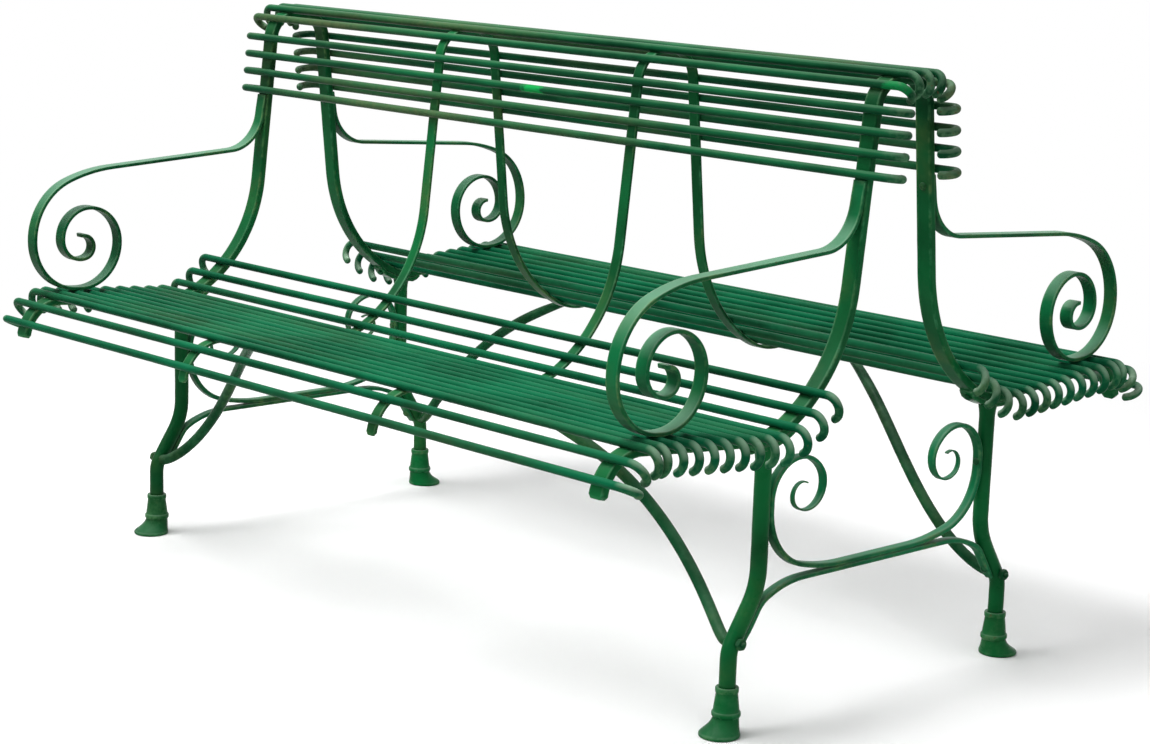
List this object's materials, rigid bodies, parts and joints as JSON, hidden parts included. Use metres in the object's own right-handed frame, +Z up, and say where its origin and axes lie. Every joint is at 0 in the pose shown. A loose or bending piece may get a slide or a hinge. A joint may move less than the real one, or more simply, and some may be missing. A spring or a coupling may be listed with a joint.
{
  "type": "wrought iron garden bench",
  "caption": "Double-sided wrought iron garden bench: back-to-back slatted rod seats on curved bar frames, scrolled arms and stretchers, round legs on cast feet.",
  "frame": {"origin": "on the ground under the middle of the bench", "axes": "+X along the bench's length, +Z up, front seat faces -Y and rear seat faces +Y"},
  "size_m": [1.474, 1.1248, 0.8945],
  "materials": {
    "frame_paint": "deep green paint, brushed on thickly, worn at the edges",
    "rod_paint": "green paint, faded on top and darker underneath",
    "arm_paint": "green paint with worn edges",
    "leg_paint": "dark green paint over wrought iron",
    "foot_paint": "dark green paint over cast iron, chipped at the sole",
    "brace_paint": "dark green paint over a round forged bar",
    "strap_paint": "dark green paint over a thin forged strap",
    "fastener_paint": "dark green paint over hammered heads and nuts"
  },
  "bodies": {
    "root": {"end_frame_left": "frame_paint", "inner_frame_left": "frame_paint", "inner_frame_right": "frame_paint", "end_frame_right": "frame_paint", "arch_rod_top": "rod_paint", "arch_rods_inner": "rod_paint", "arch_rods_outer": "rod_paint", "back_rods_1": "rod_paint", "back_rods_2": "rod_paint", "back_rods_3": "rod_paint", "back_rods_4": "rod_paint", "bend_rods_1": "rod_paint", "bend_rods_2": "rod_paint", "bend_rods_3": "rod_paint", "seat_rods_1": "rod_paint", "seat_rods_2": "rod_paint", "seat_rods_3": "rod_paint", "seat_rods_4": "rod_paint", "seat_rods_5": "rod_paint", "seat_rods_6": "rod_paint", "seat_rods_7": "rod_paint", "seat_rods_8": "rod_paint", "seat_rods_9": "rod_paint", "roll_rods_1": "rod_paint", "roll_rods_2": "rod_paint", "roll_rods_3": "rod_paint", "arm_front_left": "arm_paint", "arm_front_right": "arm_paint", "arm_rear_left": "arm_paint", "arm_rear_right": "arm_paint", "leg_front_left": "leg_paint", "leg_front_right": "leg_paint", "leg_rear_left": "leg_paint", "leg_rear_right": "leg_paint", "foot_front_left": "foot_paint", "foot_front_right": "foot_paint", "foot_rear_left": "foot_paint", "foot_rear_right": "foot_paint", "brace_front_left": "brace_paint", "brace_front_right": "brace_paint", "brace_rear_left": "brace_paint", "brace_rear_right": "brace_paint", "upper_stretcher_left": "strap_paint", "upper_stretcher_right": "strap_paint", "lower_stretcher_left": "strap_paint", "lower_stretcher_right": "strap_paint", "arm_back_rivets": "fastener_paint", "leg_rivets": "fastener_paint", "brace_rivets": "fastener_paint", "brace_nuts": "fastener_paint", "stretcher_bolts": "fastener_paint", "stretcher_rivets": "fastener_paint"}
  },
  "joints": []
}
